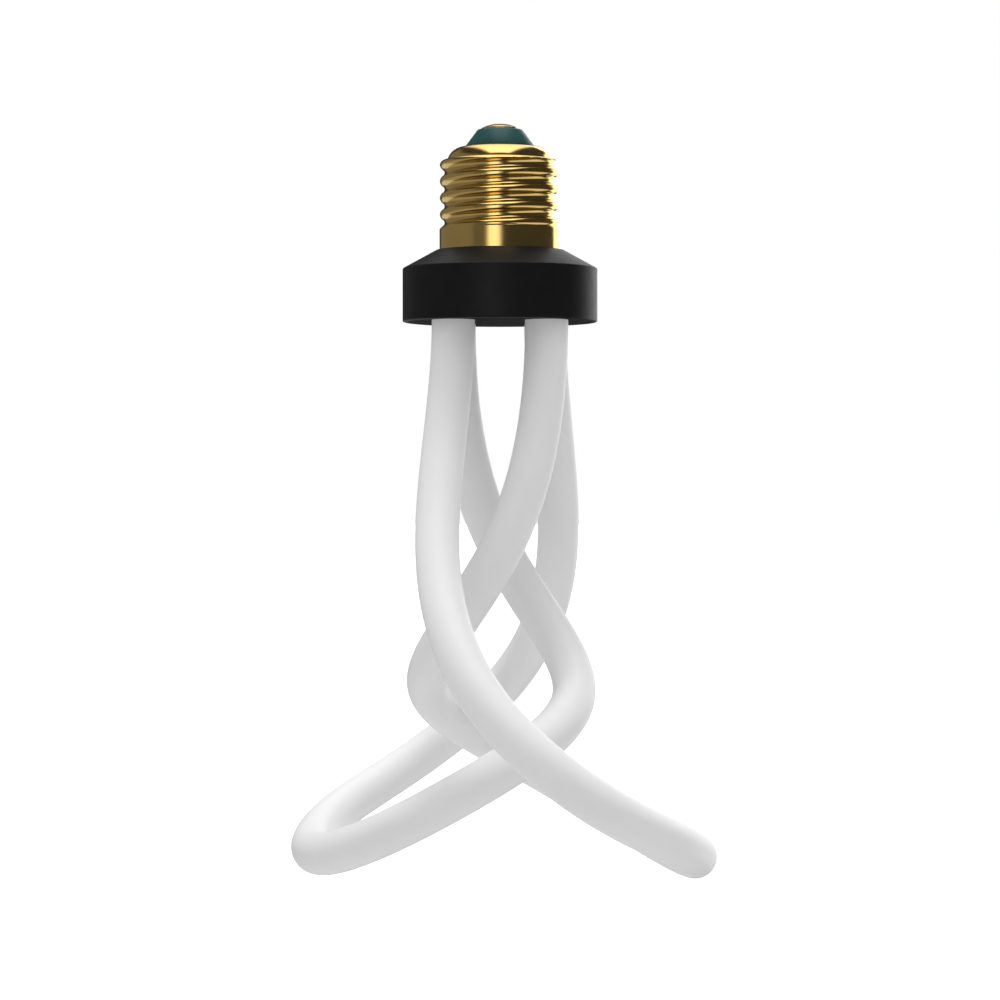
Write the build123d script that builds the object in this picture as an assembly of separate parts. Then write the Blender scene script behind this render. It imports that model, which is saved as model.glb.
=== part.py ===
from build123d import *
from itertools import accumulate
from math import hypot, sqrt
import os

# A designer LED bulb: screw cap on top, black collar, two opal tubes laced through each other.
# Millimetres. The origin is on the cap's axis where the skirt stands on the collar, +Z toward the contact.

# Screw cap
THREAD_PITCH = 3.629
THREAD_DEPTH = 1.0
THREAD_EMBED = 0.3
ROOT_FLAT = 0.1
SKIRT_R = 13.15
SKIRT_STEP = 0.08
SKIRT_HEIGHT = 4.6
SKIRT_TAPER = 1.2
SHELL_HEIGHT = 22.4
LEDGE_DROP = 2.8
LEDGE_STEP = 0.52
LEDGE_ROUND = 1.25
SHELL_MOUTH_R = 7.5
MOUTH_LIP = 0.45
SHELL_WALL = 0.5

# Insulator and centre contact
INSULATOR_HEIGHT = 3.9
INSULATOR_TOP_R = 4.95
INSULATOR_LIP = 1.0
INSULATOR_LIP_HEIGHT = 2.0
INSULATOR_ROUND = 0.8
CONTACT_R = 3.6
CONTACT_RIM = 0.35
CONTACT_DOME = 0.85
RIVET_R = 1.2

# Tubes: the ends stand on the corners of a rectangle, then each station is x, y and drop below the collar
TUBE_R = 4.63
TUBE_WALL = 1.0
TUBE_SEAT = 7.5
TUBE_END_X = 10.0
TUBE_END_Y = 10.0
FRONT_SWELL = (-13.0, -29.5, 50.5)
FRONT_SWEEP = (0.5, -52.5, 83.5)
FRONT_RUN = (20.5, -52.0, 100.0)
OUTER_TURN = (37.0, -34.0, 110.0)
LOWEST_TURN = (38.0, 5.5, 115.0)
REAR_TURN = (5.5, 32.0, 98.0)
REAR_RISE = (-14.5, 17.0, 83.5)
SIDE_BULGE = (-13.0, -3.0, 70.5)
INNER_CROSSING = (0.5, -13.5, 48.5)

# Collar and the plate that closes it
COLLAR_HEIGHT = 15.6
COLLAR_LEDGE = 0.75
SHOULDER_DROP = 4.0
COLLAR_WALL = 2.0
COLLAR_EDGE = 0.4
RABBET_WALL = 1.2
NECK_HEIGHT = 12.0
NECK_WALL = 1.8
PLATE_THICKNESS = 5.0
PLATE_RIM = 1.0
POST_R = 1.6
POST_CIRCLE_R = 14.5

# Light strips and driver
STRIP_THICKNESS = 0.8
BOARD_THICKNESS = 1.6
CAPACITOR_R = 3.15
CAPACITOR_HEIGHT = 11.0
INDUCTOR_R = 3.0
INDUCTOR_HEIGHT = 6.0
INDUCTOR_FLANGE = 1.0
INDUCTOR_WAIST = 0.6
CHIP_SIZE = (4.9, 3.9, 1.5)
RECTIFIER_SIZE = (4.7, 3.9, 2.5)
CHIP_GAP = 1.2
FUSE_R = 0.9
FUSE_HEIGHT = 7.0
LEAD_R = 0.4
LEAD_BEND = 1.2
LEAD_RISE = 1.4

# Clearances
PRESS_CLEARANCE = 0.1
TUBE_CLEARANCE = 0.1
STRIP_CLEARANCE = 0.3
BOARD_CLEARANCE = 0.3
PART_CLEARANCE = 0.25

# Sizes that follow from the ones above
CREST_R = SKIRT_R - SKIRT_STEP
ROOT_R = CREST_R - THREAD_DEPTH
LEDGE_Z = SHELL_HEIGHT - LEDGE_DROP
DOME_R = ROOT_R - LEDGE_STEP
DOME_ROUND = DOME_R - SHELL_MOUTH_R - MOUTH_LIP
SHELL_BORE_R = DOME_R - SHELL_WALL
INSULATOR_TOP_Z = SHELL_HEIGHT + INSULATOR_HEIGHT
UNDERSIDE_Z = -COLLAR_HEIGHT
BOARD_Z = UNDERSIDE_Z + TUBE_SEAT
BOARD_TOP_Z = BOARD_Z + BOARD_THICKNESS
TUBE_BORE_R = TUBE_R - TUBE_WALL
TUBE_HOLE_R = TUBE_R + TUBE_CLEARANCE
PLATE_R = hypot(TUBE_END_X, TUBE_END_Y) + TUBE_HOLE_R + PLATE_RIM
COLLAR_R = PLATE_R + PRESS_CLEARANCE + RABBET_WALL
COLLAR_TOP_R = SKIRT_R + COLLAR_LEDGE
CAVITY_R = COLLAR_R - COLLAR_WALL
NECK_R = SHELL_BORE_R - PRESS_CLEARANCE
NECK_BORE_R = NECK_R - NECK_WALL
BOARD_R = CAVITY_R - BOARD_CLEARANCE
SHELL_LEAD_Y = NECK_BORE_R - PART_CLEARANCE - LEAD_R


def spun(outline):
    """A solid turned about the Z axis from an outline in radius and height."""
    return revolve(Plane.XZ * make_face(outline), axis=Axis.Z)


def circles(body, radius):
    """The round edges of a turned body that have this radius."""
    return body.edges().filter_by(GeomType.CIRCLE).filter_by(lambda edge: abs(edge.radius - radius) < 1e-6)


def domed(radius, dome_round, top_z):
    """A turned body from the origin up, with a straight wall that rounds over at its top."""
    return spun(
        Polyline((radius - dome_round, top_z), (0, top_z), (0, 0), (radius, 0), (radius, top_z - dome_round))
        + CenterArc((radius - dome_round, top_z - dome_round), dome_round, 0, 90)
    )


def lip_height():
    """Height of the insulator's lip, just under the shell's inner dome."""
    inner_round = DOME_ROUND - SHELL_WALL
    reach = max(INSULATOR_LIP - MOUTH_LIP, 0)
    return SHELL_HEIGHT - DOME_ROUND + sqrt(inner_round**2 - reach**2) - PRESS_CLEARANCE


def foot_height():
    """Height of the insulator's foot, where the contact's rivet ends flush."""
    return lip_height() - INSULATOR_LIP_HEIGHT


def thread_ridge():
    """One rounded ridge, a crest arc between hollow flanks, wound right-handed up from inside the skirt."""
    half = THREAD_PITCH / 2
    arc_r = (half**2 + THREAD_DEPTH**2) / (4 * THREAD_DEPTH)
    middle_r = (CREST_R + ROOT_R) / 2
    foot_z = half - sqrt(arc_r**2 - (arc_r - ROOT_FLAT) ** 2)
    bow_z = (half / 2 + foot_z) / 2
    bow_r = ROOT_R + arc_r - sqrt(arc_r**2 - (half - bow_z) ** 2)
    embed_r = ROOT_R - THREAD_EMBED
    upper_flank = ThreePointArc((middle_r, half / 2), (bow_r, bow_z), (ROOT_R + ROOT_FLAT, foot_z))
    lower_flank = ThreePointArc((ROOT_R + ROOT_FLAT, -foot_z), (bow_r, -bow_z), (middle_r, -half / 2))
    crest = ThreePointArc(lower_flank @ 1, (CREST_R, 0), upper_flank @ 0)
    root = Polyline(upper_flank @ 1, (embed_r, foot_z), (embed_r, -foot_z), lower_flank @ 0)
    start_z = SKIRT_HEIGHT / 2
    helix = Helix(THREAD_PITCH, SHELL_HEIGHT - start_z, middle_r)
    ridge = sweep(Plane.XZ * make_face(crest + upper_flank + root + lower_flank), path=helix, is_frenet=True)
    return Pos(0, 0, start_z) * ridge


def screw_shell():
    """The rolled brass shell: plain skirt, threaded wall up to a ledge, and a dome with the mouth in it."""
    threaded = extrude(Circle(ROOT_R), SHELL_HEIGHT + THREAD_PITCH) + thread_ridge()
    threaded = threaded & domed(SKIRT_R, LEDGE_ROUND, LEDGE_Z)
    taper_r = ROOT_R - THREAD_EMBED
    taper_z = SKIRT_HEIGHT + SKIRT_TAPER
    skirt = spun(
        Polyline(
            (0, 0),
            (SKIRT_R, 0),
            (SKIRT_R, SKIRT_HEIGHT),
            (taper_r, taper_z),
            (0, taper_z),
            (0, 0),
        )
    )
    dome = domed(DOME_R, DOME_ROUND, SHELL_HEIGHT)
    bore = domed(SHELL_BORE_R, DOME_ROUND - SHELL_WALL, SHELL_HEIGHT - SHELL_WALL)
    mouth = extrude(Circle(SHELL_MOUTH_R), SHELL_HEIGHT)
    return threaded + skirt + dome - bore - mouth


def cap_insulator():
    """The moulded cone, with a lip under the shell's mouth and a hole for the contact's rivet."""
    neck_r = SHELL_MOUTH_R - PRESS_CLEARANCE
    lip_r = SHELL_MOUTH_R + INSULATOR_LIP
    hole_r = RIVET_R + PRESS_CLEARANCE
    cone = spun(
        Polyline(
            (hole_r, foot_height()),
            (lip_r, foot_height()),
            (lip_r, lip_height()),
            (neck_r, lip_height()),
            (neck_r, SHELL_HEIGHT),
            (INSULATOR_TOP_R, INSULATOR_TOP_Z),
            (hole_r, INSULATOR_TOP_Z),
            (hole_r, foot_height()),
        )
    )
    return fillet(circles(cone, INSULATOR_TOP_R), INSULATOR_ROUND)


def centre_contact():
    """The domed button and the rivet that holds it in the insulator."""
    rim_z = INSULATOR_TOP_Z + CONTACT_RIM
    top_z = rim_z + CONTACT_DOME
    dome_r = (CONTACT_R**2 + CONTACT_DOME**2) / (2 * CONTACT_DOME)
    return spun(
        Polyline(
            (0, top_z),
            (0, foot_height()),
            (RIVET_R, foot_height()),
            (RIVET_R, INSULATOR_TOP_Z),
            (CONTACT_R, INSULATOR_TOP_Z),
            (CONTACT_R, rim_z),
        )
        + RadiusArc((CONTACT_R, rim_z), (0, top_z), -dome_r)
    )


def collar():
    """The black moulding: conical shoulder, straight wall, neck for the shell and rabbet for the plate."""
    run = COLLAR_R - COLLAR_TOP_R
    roof = COLLAR_WALL * hypot(run, SHOULDER_DROP) / run
    slope = SHOULDER_DROP / run
    ceiling_r = COLLAR_TOP_R + (roof - COLLAR_WALL) / slope
    eaves_z = -roof - slope * (CAVITY_R - COLLAR_TOP_R)
    rabbet_r = PLATE_R + PRESS_CLEARANCE
    rabbet_z = UNDERSIDE_Z + PLATE_THICKNESS
    wall = spun(
        Polyline(
            (NECK_BORE_R, NECK_HEIGHT),
            (NECK_R, NECK_HEIGHT),
            (NECK_R, 0),
            (COLLAR_TOP_R, 0),
            (COLLAR_R, -SHOULDER_DROP),
            (COLLAR_R, UNDERSIDE_Z),
            (rabbet_r, UNDERSIDE_Z),
            (rabbet_r, rabbet_z),
            (CAVITY_R, rabbet_z),
            (CAVITY_R, eaves_z),
            (ceiling_r, -COLLAR_WALL),
            (NECK_BORE_R, -COLLAR_WALL),
            (NECK_BORE_R, NECK_HEIGHT),
        )
    )
    return fillet(circles(wall, COLLAR_R) + circles(wall, COLLAR_TOP_R), COLLAR_EDGE)


def tube_ends():
    """The four places where the tubes enter the collar."""
    return GridLocations(2 * TUBE_END_X, 2 * TUBE_END_Y, 2, 2)


def tube_plate():
    """The disc that closes the collar, with a hole for each tube end and posts that carry the board."""
    plate = Pos(0, 0, UNDERSIDE_Z) * extrude(Circle(PLATE_R), PLATE_THICKNESS)
    posts = extrude(Sketch() + PolarLocations(POST_CIRCLE_R, 4) * Circle(POST_R), TUBE_SEAT)
    holes = extrude(Sketch() + tube_ends() * Circle(TUBE_HOLE_R), TUBE_SEAT)
    return plate + Pos(0, 0, UNDERSIDE_Z) * posts - Pos(0, 0, UNDERSIDE_Z) * holes


def tube_path():
    """Centre line of the right tube, from the front left end round the loop to the front right end."""
    stations = [
        (-TUBE_END_X, -TUBE_END_Y, 0),
        FRONT_SWELL,
        FRONT_SWEEP,
        FRONT_RUN,
        OUTER_TURN,
        LOWEST_TURN,
        REAR_TURN,
        REAR_RISE,
        SIDE_BULGE,
        INNER_CROSSING,
        (TUBE_END_X, -TUBE_END_Y, 0),
    ]
    points = [Vector(x, y, UNDERSIDE_Z - drop) for x, y, drop in stations]
    runs = [(far - near).length for near, far in zip(points, points[1:])]
    up = Vector(0, 0, 1)
    bend = Edge.make_spline(points, [-up, up], parameters=list(accumulate(runs, initial=0)), scale=False)
    first = Edge.make_line(points[0] + up * TUBE_SEAT, points[0])
    last = Edge.make_line(points[-1], points[-1] + up * TUBE_SEAT)
    return Wire([first, bend, last])


def end_plane():
    """The level plane across the first end of the right tube."""
    return Plane(origin=(-TUBE_END_X, -TUBE_END_Y, BOARD_Z), x_dir=(1, 0, 0), z_dir=(0, 0, -1))


def right_tube():
    """An opal tube, open at both ends, bent round its loop."""
    ring = Circle(TUBE_R) - Circle(TUBE_BORE_R)
    return sweep(end_plane() * ring, path=tube_path())


def right_led_strip():
    """The flexible light strip that runs through the tube from end to end."""
    reach = TUBE_BORE_R - STRIP_CLEARANCE
    width = 2 * sqrt(reach**2 - (STRIP_THICKNESS / 2) ** 2)
    return sweep(end_plane() * Rectangle(width, STRIP_THICKNESS), path=tube_path())


def turned(piece):
    """The second of a pair, half a turn about the axis from the first."""
    return Rot(0, 0, 180) * piece


def on_board(x, y):
    """A place on the upper face of the driver board."""
    return Pos(x, y, BOARD_TOP_Z)


def driver_board():
    """The round circuit board, resting on the plate's posts and the tube ends."""
    return Pos(0, 0, BOARD_Z) * extrude(Circle(BOARD_R), BOARD_THICKNESS)


def smoothing_capacitor():
    """The can capacitor, standing up into the neck."""
    x = CAPACITOR_R + PART_CLEARANCE - NECK_BORE_R
    return on_board(x, 0) * extrude(Circle(CAPACITOR_R), CAPACITOR_HEIGHT)


def inductor():
    """The drum inductor, its winding between two flanges."""
    x = NECK_BORE_R - PART_CLEARANCE - INDUCTOR_R
    winding = extrude(Circle(INDUCTOR_R - INDUCTOR_WAIST), INDUCTOR_HEIGHT)
    flange = extrude(Circle(INDUCTOR_R), INDUCTOR_FLANGE)
    return on_board(x, 0) * (winding + flange + Pos(0, 0, INDUCTOR_HEIGHT - INDUCTOR_FLANGE) * flange)


def block(size, side):
    """A moulded chip body on the board, within reach of the shell's wire or opposite to it."""
    length, width, height = size
    y = side * (SHELL_LEAD_Y - LEAD_R - CHIP_GAP - width / 2)
    return on_board(0, y) * extrude(Rectangle(length, width), height)


def fuse_resistor():
    """The fusible resistor, standing on the axis under the contact's wire."""
    return on_board(0, 0) * extrude(Circle(FUSE_R), FUSE_HEIGHT)


def centre_lead():
    """The wire from the fuse up to the contact's rivet."""
    foot_z = BOARD_TOP_Z + FUSE_HEIGHT
    return Pos(0, 0, foot_z) * extrude(Circle(LEAD_R), foot_height() - foot_z)


def shell_lead():
    """The wire from the board up the neck and over its rim to the shell."""
    top_z = NECK_HEIGHT + LEAD_RISE
    end_y = SHELL_BORE_R - PRESS_CLEARANCE
    corners = [(0, SHELL_LEAD_Y, BOARD_TOP_Z), (0, SHELL_LEAD_Y, top_z), (0, end_y, top_z)]
    path = FilletPolyline(*corners, radius=LEAD_BEND)
    return sweep(on_board(0, SHELL_LEAD_Y) * Circle(LEAD_R), path=path)


pieces = {
    "centre_contact": centre_contact(),
    "cap_insulator": cap_insulator(),
    "screw_shell": screw_shell(),
    "collar": collar(),
    "tube_plate": tube_plate(),
    "right_tube": right_tube(),
    "left_tube": turned(right_tube()),
    "right_led_strip": right_led_strip(),
    "left_led_strip": turned(right_led_strip()),
    "driver_board": driver_board(),
    "smoothing_capacitor": smoothing_capacitor(),
    "inductor": inductor(),
    "driver_chip": block(CHIP_SIZE, 1),
    "rectifier": block(RECTIFIER_SIZE, -1),
    "fuse_resistor": fuse_resistor(),
    "centre_lead": centre_lead(),
    "shell_lead": shell_lead(),
}

os.makedirs("parts", exist_ok=True)
for name, piece in pieces.items():
    export_step(piece, f"parts/{name}.step")
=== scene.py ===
import math

import bpy
import numpy as np
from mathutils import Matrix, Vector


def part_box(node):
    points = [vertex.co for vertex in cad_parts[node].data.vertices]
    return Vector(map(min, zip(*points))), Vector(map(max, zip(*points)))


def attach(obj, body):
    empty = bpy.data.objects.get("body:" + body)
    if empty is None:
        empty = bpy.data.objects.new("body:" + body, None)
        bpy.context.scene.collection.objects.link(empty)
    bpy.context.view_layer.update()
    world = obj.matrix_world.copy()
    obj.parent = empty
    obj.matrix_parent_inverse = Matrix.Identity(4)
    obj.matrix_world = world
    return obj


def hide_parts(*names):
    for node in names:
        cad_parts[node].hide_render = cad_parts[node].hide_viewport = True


# A lamp with a brass screw cap, a black collar and two opal tubes laced through each other.
# Metres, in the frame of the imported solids.
# The origin is where the skirt stands on the collar, and +Z points toward the contact.

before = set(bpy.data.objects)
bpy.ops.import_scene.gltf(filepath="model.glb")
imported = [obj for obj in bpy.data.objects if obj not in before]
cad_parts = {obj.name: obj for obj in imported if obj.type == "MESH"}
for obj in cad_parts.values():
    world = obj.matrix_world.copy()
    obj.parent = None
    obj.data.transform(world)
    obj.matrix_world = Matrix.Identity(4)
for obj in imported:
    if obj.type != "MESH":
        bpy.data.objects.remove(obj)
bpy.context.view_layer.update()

MM = 0.001

# Sizes read from the solids
SKIRT_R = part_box("screw_shell")[1].x
SHELL_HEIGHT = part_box("screw_shell")[1].z
COLLAR_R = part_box("collar")[1].x
UNDERSIDE_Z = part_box("collar")[0].z
NECK_TOP_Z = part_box("collar")[1].z
PLATE_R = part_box("tube_plate")[1].x
TUBE_TOP_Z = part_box("right_tube")[1].z
INSULATOR_FOOT_Z, INSULATOR_TOP_Z = (corner.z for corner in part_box("cap_insulator"))
INSULATOR_LIP_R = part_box("cap_insulator")[1].x
CONTACT_TOP_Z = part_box("centre_contact")[1].z

# Screw cap
THREAD_PITCH = 3.629 * MM
THREAD_DEPTH = 1.0 * MM
THREAD_EMBED = 0.3 * MM
SKIRT_STEP = 0.08 * MM
SKIRT_HEIGHT = 4.6 * MM
SKIRT_TAPER = 1.2 * MM
LEDGE_DROP = 2.8 * MM
LEDGE_STEP = 0.52 * MM
LEDGE_ROUND = 1.25 * MM
SHELL_MOUTH_R = 7.5 * MM
MOUTH_LIP = 0.45 * MM
SHELL_WALL = 0.5 * MM
THREAD_SOFTNESS = 0.12 * MM
LEDGE_SOFTNESS = 0.03 * MM
SHELL_STEPS = 288
SHELL_RINGS = 150
DOME_RINGS = 24
INSIDE_RINGS = 12

# Insulator and contact
INSULATOR_TOP_R = 4.8 * MM
INSULATOR_BASE_HEIGHT = 0.4 * MM
INSULATOR_LIP_HEIGHT = 2.0 * MM
INSULATOR_ROUND = 0.8 * MM
CONTACT_R = 4.3 * MM
CONTACT_RIM = 0.12 * MM
CONTACT_ROUND = 0.08 * MM
CONTACT_RINGS = 12
RIVET_R = 1.2 * MM
PRESS_CLEARANCE = 0.1 * MM

# Collar
COLLAR_LEDGE = 0.75 * MM
SHOULDER_DROP = 4.0 * MM
COLLAR_WALL = 2.0 * MM
COLLAR_EDGE = 0.4 * MM
NECK_WALL = 1.8 * MM
PLATE_THICKNESS = 5.0 * MM

# Tubes: each station is x, y and drop below the collar's underside, in millimetres
TUBE_R = 4.63 * MM
TUBE_WALL = 1.0 * MM
TUBE_END = (10.0, 10.0)
TUBE_STATIONS = [
    (-13.0, -29.5, 50.5),
    (0.5, -52.5, 83.5),
    (20.5, -52.0, 100.0),
    (37.0, -34.0, 110.0),
    (38.0, 5.5, 115.0),
    (5.5, 32.0, 98.0),
    (-14.5, 17.0, 83.5),
    (-13.0, -3.0, 70.5),
    (0.5, -13.5, 48.5),
]
TUBE_RINGS = 420
TUBE_SEAT_RINGS = 6
TUBE_STEPS = 56

# Turned pieces: steps round the axis and round a corner, and the pinhole left on the axis of a full one
LATHE_STEPS = 192
ROUND_STEPS = 12
AXIS_R = 0.01 * MM
SHARP_ANGLE = math.radians(38)

# Finishes: colours and roughness that drift from one value to another, by noise cells to the metre
NOISE_DETAIL = 4.0
DRIFT_FROM = 0.3
DRIFT_TO = 0.7
OPAL_COLOURS = ((0.79, 0.79, 0.79), (0.82, 0.82, 0.818))
OPAL_CELLS = 35
OPAL_ROUGHNESS = (0.42, 0.52)
OPAL_SATIN_CELLS = 120
OPAL_SPECULAR = 0.35
BLACK_COLOURS = ((0.0062, 0.0062, 0.0065), (0.0080, 0.0080, 0.0084))
BLACK_CELLS = 260
BLACK_SATIN_CELLS = 420
COLLAR_SPECULAR = 0.14
COLLAR_ROUGHNESS = (0.40, 0.50)
PLATE_SPECULAR = 0.05
PLATE_ROUGHNESS = (0.60, 0.72)
BRASS_COLOURS = ((0.74, 0.50, 0.165), (0.82, 0.565, 0.195))
BRASS_CELLS = 160
BRASS_DETAIL = 6.0
BRASS_ROUGHNESS = (0.13, 0.20)
BRASS_SATIN_CELLS = 380
TEAL_COLOURS = ((0.014, 0.068, 0.068), (0.018, 0.080, 0.080))
TEAL_CELLS = 300
TEAL_ROUGHNESS = (0.34, 0.46)
TEAL_SATIN_CELLS = 500
TEAL_SPECULAR = 0.3

# Grain of a surface: noise cells to the metre, detail, strength, height and stretch along x, y and z
EVEN = (1, 1, 1)
OPAL_GRAIN = (2600, 2.0, 0.06, 0.02 * MM, EVEN)
BLACK_GRAIN = (3200, 3.0, 0.15, 0.03 * MM, EVEN)
BRASS_GRAIN = (60, 3.0, 0.05, 0.02 * MM, (1, 1, 40))
TEAL_GRAIN = (1500, 2.0, 0.08, 0.02 * MM, EVEN)

# Finishes of the pieces that are closed in: two colours, noise cells to the metre, roughness and metal
INNER_FINISHES = {
    "strip_yellow": ((0.70, 0.58, 0.22), (0.82, 0.72, 0.36), 400, 0.5, 0.0),
    "board_white": ((0.68, 0.70, 0.67), (0.76, 0.78, 0.75), 500, 0.35, 0.0),
    "can_metal": ((0.50, 0.51, 0.53), (0.60, 0.61, 0.63), 600, 0.3, 1.0),
    "ferrite_dark": ((0.035, 0.033, 0.032), (0.06, 0.057, 0.055), 800, 0.55, 0.0),
    "chip_black": ((0.012, 0.012, 0.012), (0.022, 0.022, 0.022), 900, 0.45, 0.0),
    "resistor_blue": ((0.22, 0.38, 0.44), (0.30, 0.46, 0.52), 700, 0.4, 0.0),
    "tinned_wire": ((0.55, 0.53, 0.50), (0.68, 0.66, 0.62), 700, 0.3, 1.0),
}
INNER_NODES = {
    "strip_yellow": ["right_led_strip", "left_led_strip"],
    "board_white": ["driver_board"],
    "can_metal": ["smoothing_capacitor"],
    "ferrite_dark": ["inductor"],
    "chip_black": ["driver_chip", "rectifier"],
    "resistor_blue": ["fuse_resistor"],
    "tinned_wire": ["centre_lead", "shell_lead"],
}
INNER_ROUGHNESS_SPREAD = 0.05
INNER_SATIN_RATIO = 2

# Camera: level, at the photograph's distance and height
CAMERA_DISTANCE = 692.2 * MM
CAMERA_HEIGHT = -51.0 * MM
CAMERA_LENS = 114.6
CAMERA_SENSOR = 36.0
CAMERA_SHIFT = -0.015

# Floor, and the glow that turns it white to the eye, by metres from the middle
FLOOR_Z = -430 * MM
FLOOR_SIZE = 60.0
FLOOR_COLOURS = ((0.71, 0.71, 0.71), (0.73, 0.73, 0.73))
FLOOR_CELLS = 3
FLOOR_FADE_END = 4.0
FLOOR_GLOW = [(0, 0), (0.7, 0), (1.6, 0.85), (FLOOR_FADE_END, 0.85)]

# The small lamp that casts the shadow
LAMP_W = 2.2
LAMP_SIZE = 0.15
LAMP_PLACE = (0, 0, 1.0)

# What matte surfaces see round the object: an even level, and wide lobes by direction and brightness
AMBIENT = 0.42
LOBES = [((0, 0, 1), 2.05), ((-1, 1, 1), 0.15)]
LOBE_POWER = 4

# What reflections see round the object: cards by brightness, degrees to the right of the camera's side,
# degrees upward, and degrees of soft edge
CARDS = [
    (0.22, (-146, -56), (-32, 32), 14),
    (0.14, (-60, -28), (-32, 32), 10),
    (1.75, (-17, -6), (-34, 8), 13),
    (2.00, (126, 156), (-22, 24), 4),
    (2.00, (150, 171), (-8, 35), 3),
    (0.90, (25, 110), (-42, -17), 8),
    (0.35, (-138, -30), (-45, -14), 8),
    (0.70, (-178, -138), (-50, -14), 8),
]
SURROUND_LEVEL = 0.05

# The long panel overhead in reflections: brightness across it and share along it toward the camera,
# by metres at a metre up
PANEL_REACH = 4
PANEL_LEAST_RISE = 0.0625
PANEL_LEVEL = 2.0
PANEL_ACROSS = [(0, PANEL_LEVEL), (0.36, PANEL_LEVEL), (0.5, 0), (PANEL_REACH, 0)]
PANEL_ALONG = [(-PANEL_REACH, 0), (-1.8, 0), (-1.2, 0.6), (0, 1), (0.75, 1), (0.95, 0), (PANEL_REACH, 0)]


def new_object(name, points, faces, material):
    """A smooth-shaded mesh object with sharp edges kept."""
    mesh = bpy.data.meshes.new(name)
    mesh.from_pydata([tuple(p) for p in points], [], faces)
    mesh.validate()
    mesh.shade_smooth()
    mesh.set_sharp_from_angle(angle=SHARP_ANGLE)
    mesh.materials.append(material)
    obj = bpy.data.objects.new(name, mesh)
    bpy.context.scene.collection.objects.link(obj)
    return obj


def dress(obj, node):
    """Puts a piece on the lamp in place of its solid."""
    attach(obj, "root")
    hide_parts(node)


def ring_faces(rings, steps):
    """Quads between rings of points that follow each other, with the last joined to the first."""
    faces = []
    for row in range(rings):
        near = row * steps
        far = (row + 1) % rings * steps
        for step in range(steps):
            after = (step + 1) % steps
            faces.append((near + step, near + after, far + after, far + step))
    return faces


def rounded(corners, radii):
    """An outline of radius and height with the corners that have a radius turned into arcs."""
    outline = []
    count = len(corners)
    for i, (corner, radius) in enumerate(zip(corners, radii)):
        here = np.array(corner)
        if not radius:
            outline.append(here)
            continue
        back = np.array(corners[i - 1]) - here
        ahead = np.array(corners[(i + 1) % count]) - here
        back = back / np.linalg.norm(back)
        ahead = ahead / np.linalg.norm(ahead)
        half = math.acos(np.clip(back @ ahead, -1, 1)) / 2
        middle = (back + ahead) / np.linalg.norm(back + ahead)
        centre = here + middle * radius / math.sin(half)
        start = here + back * radius / math.tan(half) - centre
        end = here + ahead * radius / math.tan(half) - centre
        turn = math.pi - 2 * half
        for step in range(ROUND_STEPS + 1):
            share = step / ROUND_STEPS
            arc = math.sin((1 - share) * turn) * start + math.sin(share * turn) * end
            outline.append(centre + arc / math.sin(turn))
    return outline


def lathe(name, outline, material):
    """A closed outline of radius and height turned about the Z axis."""
    angles = 2 * math.pi * np.arange(LATHE_STEPS) / LATHE_STEPS
    points = [(r * math.cos(a), r * math.sin(a), z) for r, z in outline for a in angles]
    return new_object(name, points, ring_faces(len(outline), LATHE_STEPS), material)


def smooth_max(a, b, softness):
    """The larger of two numbers, blended over a small step where they meet."""
    mix = np.clip(0.5 + (a - b) / (2 * softness), 0, 1)
    return b + (a - b) * mix + softness * mix * (1 - mix)


def thread_height(offset):
    """Height of the rounded thread over its root, by the distance along the axis from a crest."""
    half = THREAD_PITCH / 2
    arc_r = (half**2 + THREAD_DEPTH**2) / (4 * THREAD_DEPTH)
    away = np.abs((offset + half) % THREAD_PITCH - half)
    crest = THREAD_DEPTH - arc_r + np.sqrt(np.maximum(arc_r**2 - away**2, 0))
    hollow = arc_r - np.sqrt(np.maximum(arc_r**2 - (half - away) ** 2, 0))
    return np.where(away < half / 2, crest, hollow)


def ring(radius, z, angles):
    """Points round the axis at one height, at one radius or one for each angle."""
    radius = np.broadcast_to(radius, angles.shape)
    return np.column_stack([radius * np.cos(angles), radius * np.sin(angles), np.full(len(angles), z)])


def dome_arc(centre_r, centre_z, radius, from_z, count):
    """Radius and height up a quarter round, from a height to its top."""
    start = math.asin((from_z - centre_z) / radius)
    turns = np.linspace(start, math.pi / 2, count)
    return [(centre_r + radius * math.cos(t), centre_z + radius * math.sin(t)) for t in turns]


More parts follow.
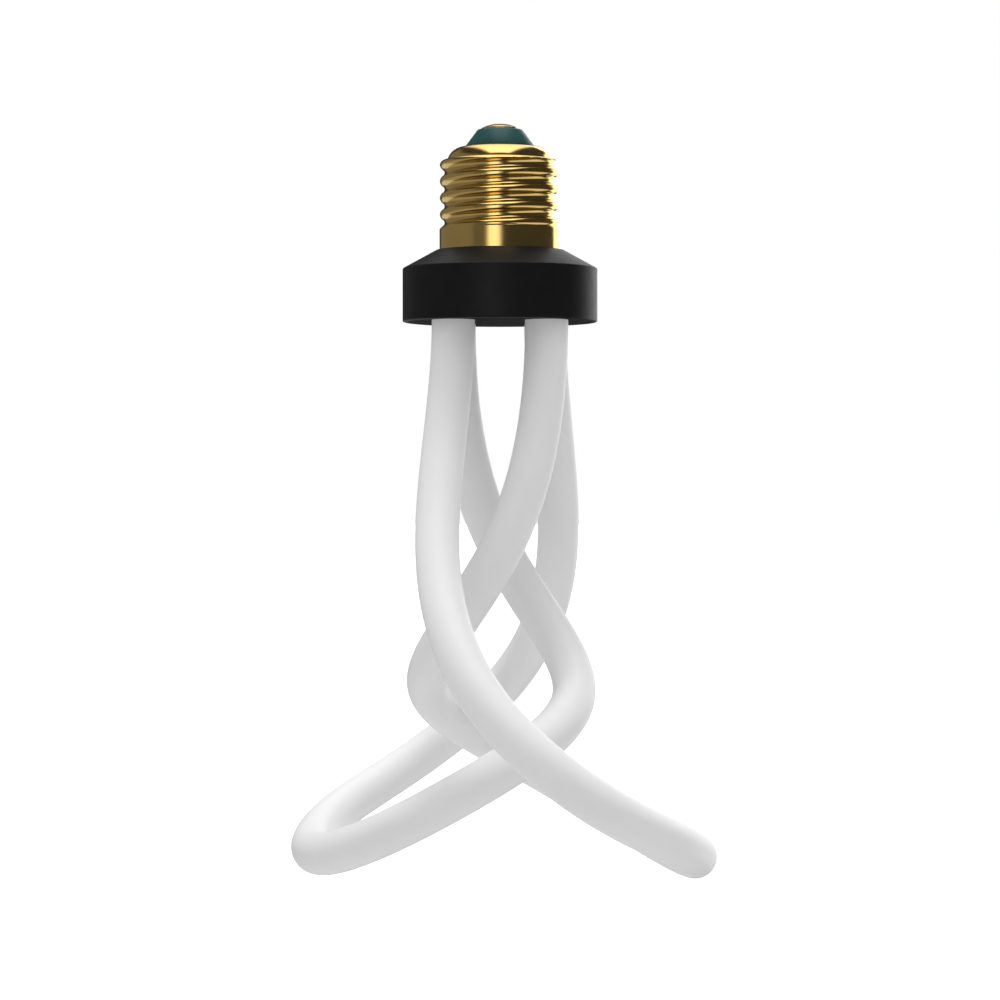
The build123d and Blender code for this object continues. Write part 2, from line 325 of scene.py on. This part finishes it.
def screw_shell(material):
    """The brass shell: skirt, rolled right-hand thread up to a ledge, and a dome with the mouth in it."""
    root_r = SKIRT_R - SKIRT_STEP - THREAD_DEPTH
    ledge_z = SHELL_HEIGHT - LEDGE_DROP
    round_z = ledge_z - LEDGE_ROUND
    dome_r = root_r - LEDGE_STEP
    bore_r = dome_r - SHELL_WALL
    dome_round = dome_r - SHELL_MOUTH_R - MOUTH_LIP
    dome_z = SHELL_HEIGHT - dome_round
    centre_r = dome_r - dome_round
    angles = 2 * math.pi * np.arange(SHELL_STEPS) / SHELL_STEPS
    crest_z = SKIRT_HEIGHT / 2 + THREAD_PITCH * angles / (2 * math.pi)
    skirt_slope = (SKIRT_R - root_r + THREAD_EMBED) / SKIRT_TAPER
    wall = [(SKIRT_R, z) for z in np.linspace(0, round_z, SHELL_RINGS)[:-1]]
    lip = dome_arc(SKIRT_R - LEDGE_ROUND, round_z, LEDGE_ROUND, round_z, DOME_RINGS)
    rings = []
    for limit, z in wall + lip:
        threaded = root_r + thread_height(z - crest_z)
        skirt = SKIRT_R - skirt_slope * max(z - SKIRT_HEIGHT, 0)
        radius = smooth_max(threaded, skirt, THREAD_SOFTNESS)
        rings.append(ring(-smooth_max(-radius, -limit, LEDGE_SOFTNESS), z, angles))
    dome = dome_arc(centre_r, dome_z, dome_round, ledge_z, DOME_RINGS)
    inside = dome_arc(centre_r, dome_z, dome_round - SHELL_WALL, dome_z, INSIDE_RINGS)[::-1]
    mouth = [(SHELL_MOUTH_R, SHELL_HEIGHT), (SHELL_MOUTH_R, SHELL_HEIGHT - SHELL_WALL)]
    for radius, z in dome + mouth + inside + [(bore_r, 0)]:
        rings.append(ring(radius, z, angles))
    shell = new_object("brass_shell", np.concatenate(rings), ring_faces(len(rings), SHELL_STEPS), material)
    dress(shell, "screw_shell")


def cap_insulator(material):
    """The teal cone under the contact, held by its lip below the shell's mouth."""
    neck_r = SHELL_MOUTH_R - PRESS_CLEARANCE
    hole_r = RIVET_R + PRESS_CLEARANCE
    lip_z = INSULATOR_FOOT_Z + INSULATOR_LIP_HEIGHT
    corners = [
        (hole_r, INSULATOR_FOOT_Z),
        (INSULATOR_LIP_R, INSULATOR_FOOT_Z),
        (INSULATOR_LIP_R, lip_z),
        (neck_r, lip_z),
        (neck_r, SHELL_HEIGHT + INSULATOR_BASE_HEIGHT),
        (INSULATOR_TOP_R, INSULATOR_TOP_Z),
        (hole_r, INSULATOR_TOP_Z),
    ]
    radii = [0, 0, 0, 0, 0, INSULATOR_ROUND, 0]
    dress(lathe("teal_insulator", rounded(corners, radii), material), "cap_insulator")


def centre_contact(material):
    """The domed button and its rivet."""
    rim_z = INSULATOR_TOP_Z + CONTACT_RIM
    rise = CONTACT_TOP_Z - rim_z
    dome_r = (CONTACT_R**2 + rise**2) / (2 * rise)
    reach = math.asin(CONTACT_R / dome_r)
    turns = [reach * (1 - k / CONTACT_RINGS) for k in range(1, CONTACT_RINGS)]
    dome = [(dome_r * math.sin(t), CONTACT_TOP_Z - dome_r * (1 - math.cos(t))) for t in turns]
    corners = [
        (RIVET_R, INSULATOR_FOOT_Z),
        (RIVET_R, INSULATOR_TOP_Z),
        (CONTACT_R, INSULATOR_TOP_Z),
        (CONTACT_R, rim_z),
    ]
    base = rounded(corners, [0, 0, 0, CONTACT_ROUND])
    outline = [(AXIS_R, INSULATOR_FOOT_Z), *base, *dome, (AXIS_R, CONTACT_TOP_Z)]
    dress(lathe("contact_button", outline, material), "centre_contact")


def collar(material):
    """The black housing, with softened edges at its rim, shoulder and underside."""
    top_r = SKIRT_R + COLLAR_LEDGE
    cavity_r = COLLAR_R - COLLAR_WALL
    rabbet_r = PLATE_R + PRESS_CLEARANCE
    rabbet_z = UNDERSIDE_Z + PLATE_THICKNESS
    neck_r = SKIRT_R - SKIRT_STEP - THREAD_DEPTH - LEDGE_STEP - SHELL_WALL - PRESS_CLEARANCE
    bore_r = neck_r - NECK_WALL
    slope = SHOULDER_DROP / (COLLAR_R - top_r)
    roof = COLLAR_WALL * math.hypot(1, slope)
    corners = [
        (bore_r, NECK_TOP_Z),
        (neck_r, NECK_TOP_Z),
        (neck_r, 0),
        (top_r, 0),
        (COLLAR_R, -SHOULDER_DROP),
        (COLLAR_R, UNDERSIDE_Z),
        (rabbet_r, UNDERSIDE_Z),
        (rabbet_r, rabbet_z),
        (cavity_r, rabbet_z),
        (cavity_r, -roof - slope * (cavity_r - top_r)),
        (top_r + (roof - COLLAR_WALL) / slope, -COLLAR_WALL),
        (bore_r, -COLLAR_WALL),
    ]
    radii = [0, 0, 0, COLLAR_EDGE, COLLAR_EDGE, COLLAR_EDGE, 0, 0, 0, 0, 0, 0]
    dress(lathe("black_collar", rounded(corners, radii), material), "collar")


def clamped_spline(knots, first, last, count):
    """Points along the smooth cubic through the knots, with set directions at its ends."""
    runs = np.linalg.norm(np.diff(knots, axis=0), axis=1)
    stops = np.concatenate([[0], np.cumsum(runs)])
    size = len(knots)
    system = np.zeros((size, size))
    wanted = np.zeros((size, 3))
    system[0, 0] = 1
    system[-1, -1] = 1
    wanted[0] = first
    wanted[-1] = last
    for i in range(1, size - 1):
        before = runs[i - 1]
        after = runs[i]
        system[i, i - 1 : i + 2] = 1 / before, 2 / before + 2 / after, 1 / after
        wanted[i] = 3 * ((knots[i] - knots[i - 1]) / before**2 + (knots[i + 1] - knots[i]) / after**2)
    slopes = np.linalg.solve(system, wanted)
    places = np.linspace(0, stops[-1], count)
    span = np.clip(np.searchsorted(stops, places, side="right") - 1, 0, size - 2)
    run = runs[span][:, None]
    t = ((places - stops[span]) / runs[span])[:, None]
    return (
        (1 + 2 * t) * (1 - t) ** 2 * knots[span]
        + t * (1 - t) ** 2 * run * slopes[span]
        + t**2 * (3 - 2 * t) * knots[span + 1]
        + t**2 * (t - 1) * run * slopes[span + 1]
    )


def tube_line():
    """Centre line of the right tube, from its seat in the collar round the loop and back."""
    end_x, end_y = TUBE_END
    stations = [(-end_x, -end_y, 0)] + TUBE_STATIONS + [(end_x, -end_y, 0)]
    knots = np.array([(x * MM, y * MM, UNDERSIDE_Z - drop * MM) for x, y, drop in stations])
    bend = clamped_spline(knots, (0, 0, -1), (0, 0, 1), TUBE_RINGS)
    seat = np.linspace(TUBE_TOP_Z, UNDERSIDE_Z, TUBE_SEAT_RINGS)[:-1]
    first = [(*bend[0, :2], z) for z in seat]
    last = [(*bend[-1, :2], z) for z in seat[::-1]]
    return np.concatenate([first, bend, last])


def tube_mesh(name, line, material):
    """A hollow tube along a line, its rings carried along without twist."""
    tangents = np.gradient(line, axis=0)
    tangents = tangents / np.linalg.norm(tangents, axis=1)[:, None]
    side = np.array([1.0, 0.0, 0.0])
    angles = 2 * math.pi * np.arange(TUBE_STEPS) / TUBE_STEPS
    outer = []
    inner = []
    for place, tangent in zip(line, tangents):
        side = side - tangent * (side @ tangent)
        side = side / np.linalg.norm(side)
        spokes = np.outer(np.cos(angles), side) + np.outer(np.sin(angles), np.cross(tangent, side))
        outer.append(place + TUBE_R * spokes)
        inner.append(place + (TUBE_R - TUBE_WALL) * spokes)
    rings = outer + inner[::-1]
    return new_object(name, np.concatenate(rings), ring_faces(len(rings), TUBE_STEPS), material)


def tubes(material):
    """The right tube, and the left one half a turn about the axis from it."""
    line = tube_line()
    half_turn = np.array([-1, -1, 1])
    dress(tube_mesh("opal_tube_right", line, material), "right_tube")
    dress(tube_mesh("opal_tube_left", line * half_turn, material), "left_tube")


def noise(tree, cells, detail=NOISE_DETAIL, stretch=EVEN):
    """A noise value in the object's own space."""
    place = tree.nodes.new("ShaderNodeTexCoord")
    mapping = tree.nodes.new("ShaderNodeMapping")
    mapping.inputs["Scale"].default_value = stretch
    texture = tree.nodes.new("ShaderNodeTexNoise")
    texture.inputs["Scale"].default_value = cells
    texture.inputs["Detail"].default_value = detail
    tree.links.new(place.outputs["Object"], mapping.inputs["Vector"])
    tree.links.new(mapping.outputs["Vector"], texture.inputs["Vector"])
    return texture.outputs["Fac"]


def blend(tree, value, low, high):
    """A colour between two, by a noise value."""
    ramp = tree.nodes.new("ShaderNodeValToRGB")
    first, last = ramp.color_ramp.elements
    first.position = DRIFT_FROM
    first.color = (*low, 1)
    last.position = DRIFT_TO
    last.color = (*high, 1)
    tree.links.new(value, ramp.inputs["Fac"])
    return ramp.outputs["Color"]


def between(tree, value, low, high):
    """A number between two, by a noise value."""
    span = tree.nodes.new("ShaderNodeMapRange")
    span.inputs["To Min"].default_value = low
    span.inputs["To Max"].default_value = high
    tree.links.new(value, span.inputs["Value"])
    return span.outputs["Result"]


def surface(name, colours, cells, roughness, satin_cells, detail=NOISE_DETAIL):
    """A node material whose colour and roughness each drift between two values, with its shader."""
    material = bpy.data.materials.new(name)
    material.use_nodes = True
    tree = material.node_tree
    shader = tree.nodes["Principled BSDF"]
    tone = blend(tree, noise(tree, cells, detail), *colours)
    satin = between(tree, noise(tree, satin_cells), *roughness)
    tree.links.new(tone, shader.inputs["Base Color"])
    tree.links.new(satin, shader.inputs["Roughness"])
    return material, shader


def add_grain(material, shader, cells, detail, strength, height, stretch):
    """Fine relief on a surface, by noise."""
    tree = material.node_tree
    relief = tree.nodes.new("ShaderNodeBump")
    relief.inputs["Strength"].default_value = strength
    relief.inputs["Distance"].default_value = height
    tree.links.new(noise(tree, cells, detail, stretch), relief.inputs["Height"])
    tree.links.new(relief.outputs["Normal"], shader.inputs["Normal"])


def opal_material():
    """Matte opal white with a faint drift of tone and a very fine satin grain."""
    material, shader = surface("opal_white", OPAL_COLOURS, OPAL_CELLS, OPAL_ROUGHNESS, OPAL_SATIN_CELLS)
    shader.inputs["Specular IOR Level"].default_value = OPAL_SPECULAR
    add_grain(material, shader, *OPAL_GRAIN)
    return material


def black_material(name, specular, roughness):
    """Matte black moulding with a fine spark-eroded grain."""
    material, shader = surface(name, BLACK_COLOURS, BLACK_CELLS, roughness, BLACK_SATIN_CELLS)
    shader.inputs["Specular IOR Level"].default_value = specular
    add_grain(material, shader, *BLACK_GRAIN)
    return material


def brass_material():
    """Bright rolled brass with a little tarnish and faint rolling lines."""
    material, shader = surface(
        "rolled_brass", BRASS_COLOURS, BRASS_CELLS, BRASS_ROUGHNESS, BRASS_SATIN_CELLS, BRASS_DETAIL
    )
    shader.inputs["Metallic"].default_value = 1.0
    add_grain(material, shader, *BRASS_GRAIN)
    return material


def insulator_material():
    """Teal moulded insulator, satin, with a slight mottle."""
    material, shader = surface("teal_satin", TEAL_COLOURS, TEAL_CELLS, TEAL_ROUGHNESS, TEAL_SATIN_CELLS)
    shader.inputs["Specular IOR Level"].default_value = TEAL_SPECULAR
    add_grain(material, shader, *TEAL_GRAIN)
    return material


def inner_material(name, low, high, cells, roughness, metallic):
    """A plain mottled finish for a piece that is closed in."""
    spread = (roughness - INNER_ROUGHNESS_SPREAD, roughness + INNER_ROUGHNESS_SPREAD)
    material, shader = surface(name, (low, high), cells, spread, INNER_SATIN_RATIO * cells)
    shader.inputs["Metallic"].default_value = metallic
    return material


def finish_solid(node, material):
    """Gives a solid that stays its own finish."""
    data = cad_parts[node].data
    data.materials.clear()
    data.materials.append(material)


def finish_inner_solids():
    """Gives each piece that is closed in the finish listed for it."""
    for name, finish in INNER_FINISHES.items():
        material = inner_material(name, *finish)
        for node in INNER_NODES[name]:
            finish_solid(node, material)


def calc(tree, operation, *values):
    """The outcome of a sum on numbers and sockets."""
    node = tree.nodes.new("ShaderNodeMath")
    node.operation = operation
    for slot, value in zip(node.inputs, values):
        if isinstance(value, bpy.types.NodeSocket):
            tree.links.new(value, slot)
        else:
            slot.default_value = value
    return node.outputs[0]


def mixed(tree, share, first, second):
    """A number between two, by a share from 0 to 1."""
    rest = calc(tree, "SUBTRACT", 1, share)
    return calc(tree, "ADD", calc(tree, "MULTIPLY", rest, first), calc(tree, "MULTIPLY", share, second))


def stepped(tree, value, low, high, stops):
    """A level that changes along a value, by stops of value and level from the low end to the high one."""
    span = tree.nodes.new("ShaderNodeMapRange")
    span.inputs["From Min"].default_value = low
    span.inputs["From Max"].default_value = high
    tree.links.new(value, span.inputs["Value"])
    top = max(level for place, level in stops)
    ramp = tree.nodes.new("ShaderNodeValToRGB")
    elements = ramp.color_ramp.elements
    elements.remove(elements[1])
    elements[0].position = 0
    for i, (place, level) in enumerate(stops):
        stop = elements[0] if i == 0 else elements.new((place - low) / (high - low))
        stop.color = (level / top, level / top, level / top, 1)
    tree.links.new(span.outputs["Result"], ramp.inputs["Fac"])
    return calc(tree, "MULTIPLY", ramp.outputs["Color"], top)


def window(tree, value, low, high, soft):
    """A share that is 1 between two values and falls to 0 over a soft edge."""
    sides = []
    for edge, outside in ((low, low - soft), (high, high + soft)):
        span = tree.nodes.new("ShaderNodeMapRange")
        span.interpolation_type = "SMOOTHSTEP"
        span.inputs["From Min"].default_value = outside
        span.inputs["From Max"].default_value = edge
        tree.links.new(value, span.inputs["Value"])
        sides.append(span.outputs["Result"])
    return calc(tree, "MULTIPLY", *sides)


def reflection_cards(tree):
    """The brightness that reflections see, by direction."""
    place = tree.nodes.new("ShaderNodeTexCoord")
    parts = tree.nodes.new("ShaderNodeSeparateXYZ")
    tree.links.new(place.outputs["Generated"], parts.inputs[0])
    side = parts.outputs["X"]
    front = calc(tree, "MULTIPLY", parts.outputs["Y"], -1)
    turn = calc(tree, "MULTIPLY", calc(tree, "ARCTAN2", side, front), math.degrees(1))
    rise = calc(tree, "MULTIPLY", calc(tree, "ARCSINE", parts.outputs["Z"]), math.degrees(1))
    height = calc(tree, "MAXIMUM", parts.outputs["Z"], PANEL_LEAST_RISE)
    across = calc(tree, "DIVIDE", calc(tree, "ABSOLUTE", side), height)
    along = calc(tree, "DIVIDE", front, height)
    panel_share = stepped(tree, along, -PANEL_REACH, PANEL_REACH, PANEL_ALONG)
    level = calc(tree, "MULTIPLY", stepped(tree, across, 0, PANEL_REACH, PANEL_ACROSS), panel_share)
    level = calc(tree, "MAXIMUM", level, SURROUND_LEVEL)
    for brightness, turns, rises, soft in CARDS:
        share = calc(tree, "MULTIPLY", window(tree, turn, *turns, soft), window(tree, rise, *rises, soft))
        level = calc(tree, "MAXIMUM", level, calc(tree, "MULTIPLY", share, brightness))
    return level


def matte_light(tree):
    """The brightness that matte surfaces see, by direction."""
    place = tree.nodes.new("ShaderNodeTexCoord")
    level = AMBIENT
    for axis, brightness in LOBES:
        facing = tree.nodes.new("ShaderNodeVectorMath")
        facing.operation = "DOT_PRODUCT"
        facing.inputs[1].default_value = Vector(axis).normalized()
        tree.links.new(place.outputs["Generated"], facing.inputs[0])
        share = calc(tree, "POWER", calc(tree, "MAXIMUM", facing.outputs["Value"], 0), LOBE_POWER)
        level = calc(tree, "ADD", level, calc(tree, "MULTIPLY", share, brightness))
    return level


def seen_directly(tree, path):
    """A share that is 1 for rays from the camera and through clear pieces."""
    return calc(tree, "MAXIMUM", path.outputs["Is Camera Ray"], path.outputs["Is Transmission Ray"])


def studio_world():
    """White to the camera, soft light from above on matte surfaces, and cards in reflections."""
    world = bpy.data.worlds.new("studio")
    bpy.context.scene.world = world
    world.use_nodes = True
    world.cycles.sampling_method = "NONE"
    tree = world.node_tree
    tree.nodes.clear()
    path = tree.nodes.new("ShaderNodeLightPath")
    around = mixed(tree, path.outputs["Is Glossy Ray"], matte_light(tree), reflection_cards(tree))
    surround = tree.nodes.new("ShaderNodeBackground")
    surround.inputs["Color"].default_value = (1, 1, 1, 1)
    tree.links.new(mixed(tree, seen_directly(tree, path), around, 1), surround.inputs["Strength"])
    output = tree.nodes.new("ShaderNodeOutputWorld")
    tree.links.new(surround.outputs[0], output.inputs["Surface"])


def floor_material():
    """Pale and matte near the middle, white to the eye further off, and clear from below."""
    material = bpy.data.materials.new("floor_white")
    material.use_nodes = True
    tree = material.node_tree
    tree.nodes.clear()
    matte = tree.nodes.new("ShaderNodeBsdfDiffuse")
    tree.links.new(blend(tree, noise(tree, FLOOR_CELLS), *FLOOR_COLOURS), matte.inputs["Color"])
    place = tree.nodes.new("ShaderNodeTexCoord")
    reach = tree.nodes.new("ShaderNodeVectorMath")
    reach.operation = "LENGTH"
    tree.links.new(place.outputs["Object"], reach.inputs[0])
    fade = stepped(tree, reach.outputs["Value"], 0, FLOOR_FADE_END, FLOOR_GLOW)
    path = tree.nodes.new("ShaderNodeLightPath")
    glow = tree.nodes.new("ShaderNodeEmission")
    tree.links.new(calc(tree, "MULTIPLY", seen_directly(tree, path), fade), glow.inputs["Strength"])
    both = tree.nodes.new("ShaderNodeAddShader")
    tree.links.new(matte.outputs[0], both.inputs[0])
    tree.links.new(glow.outputs[0], both.inputs[1])
    clear = tree.nodes.new("ShaderNodeBsdfTransparent")
    side = tree.nodes.new("ShaderNodeNewGeometry")
    shown = tree.nodes.new("ShaderNodeMixShader")
    tree.links.new(side.outputs["Backfacing"], shown.inputs[0])
    tree.links.new(both.outputs[0], shown.inputs[1])
    tree.links.new(clear.outputs[0], shown.inputs[2])
    output = tree.nodes.new("ShaderNodeOutputMaterial")
    tree.links.new(shown.outputs[0], output.inputs["Surface"])
    return material


def floor():
    """A wide pale floor well below the hanging lamp."""
    half = FLOOR_SIZE / 2
    corners = [(x * half, y * half, FLOOR_Z) for x, y in ((-1, -1), (1, -1), (1, 1), (-1, 1))]
    ground = new_object("floor", corners, [(0, 1, 2, 3)], floor_material())
    ground.visible_glossy = False


def overhead_lamp():
    """A small soft lamp straight above, for the shadow on the floor."""
    data = bpy.data.lights.new("overhead", "AREA")
    data.size = LAMP_SIZE
    data.energy = LAMP_W
    lamp = bpy.data.objects.new("overhead", data)
    lamp.location = LAMP_PLACE
    lamp.visible_glossy = False
    bpy.context.scene.collection.objects.link(lamp)


def camera():
    """A level camera at the photograph's distance, with its framing."""
    data = bpy.data.cameras.new("camera")
    data.lens = CAMERA_LENS
    data.sensor_width = CAMERA_SENSOR
    data.shift_y = CAMERA_SHIFT
    view = bpy.data.objects.new("camera", data)
    view.location = (0, -CAMERA_DISTANCE, CAMERA_HEIGHT)
    view.rotation_euler = (math.pi / 2, 0, 0)
    bpy.context.scene.collection.objects.link(view)
    bpy.context.scene.camera = view


bpy.context.scene.view_settings.view_transform = "Standard"
camera()
studio_world()
overhead_lamp()
floor()

brass = brass_material()
tubes(opal_material())
collar(black_material("matte_black", COLLAR_SPECULAR, COLLAR_ROUGHNESS))
screw_shell(brass)
cap_insulator(insulator_material())
centre_contact(brass)

finish_solid("tube_plate", black_material("plate_black", PLATE_SPECULAR, PLATE_ROUGHNESS))
finish_inner_solids()
